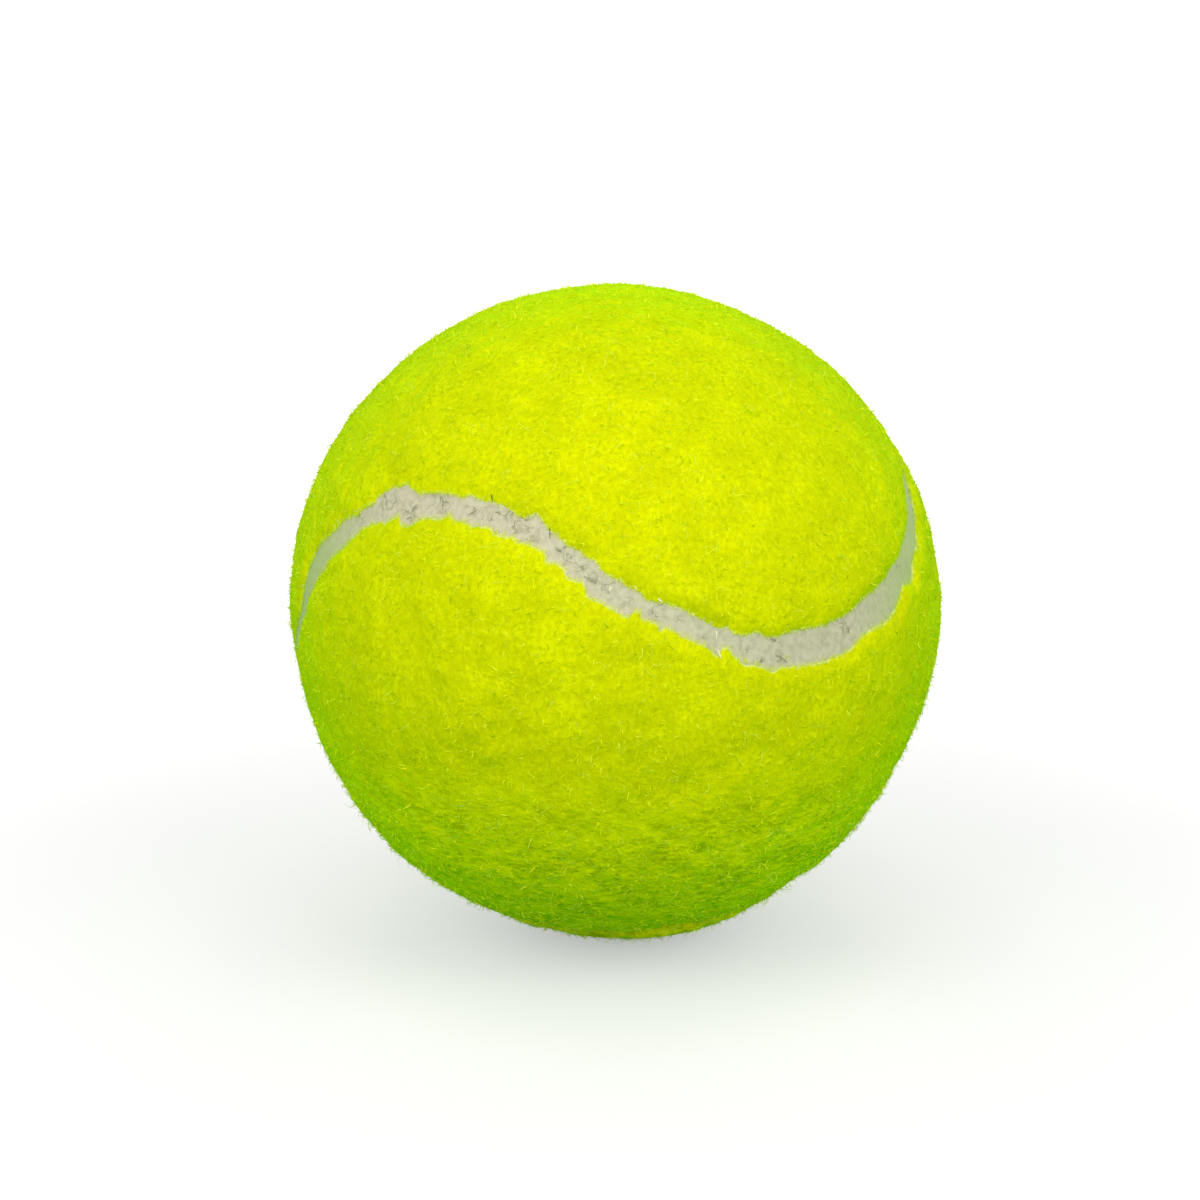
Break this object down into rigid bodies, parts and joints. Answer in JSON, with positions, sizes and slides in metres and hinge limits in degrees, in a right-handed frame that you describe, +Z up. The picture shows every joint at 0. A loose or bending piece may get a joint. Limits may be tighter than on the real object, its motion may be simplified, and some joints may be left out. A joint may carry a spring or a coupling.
{
  "type": "tennis ball",
  "caption": "Hollow rubber ball in cemented halves, covered by interlocking panels of yellow-green felt with a pale rubber seam between them.",
  "frame": {"origin": "centre of the ball, which is also the centre of its hollow core", "axes": "+Z up as the ball lies in the picture and square to the plane where the core halves meet; +X to the right of the picture's view; +Y away from the viewer"},
  "size_m": [0.066, 0.066, 0.066],
  "materials": {
    "core_rubber": "moulded matt rubber",
    "rubber_cement": "dried rubber solution",
    "cotton_backing": "plain woven cotton",
    "felt_pile": "fluffy raised wool and nylon pile",
    "seam_rubber": "matt vulcanised rubber"
  },
  "bodies": {
    "root": {"core_half_upper": "core_rubber", "core_half_lower": "core_rubber", "core_joint_cement": "rubber_cement", "cover_cement": "rubber_cement", "panel_a_backing": "cotton_backing", "panel_b_backing": "cotton_backing", "panel_a_pile": "felt_pile", "panel_b_pile": "felt_pile", "seam_rubber": "seam_rubber"}
  },
  "joints": []
}
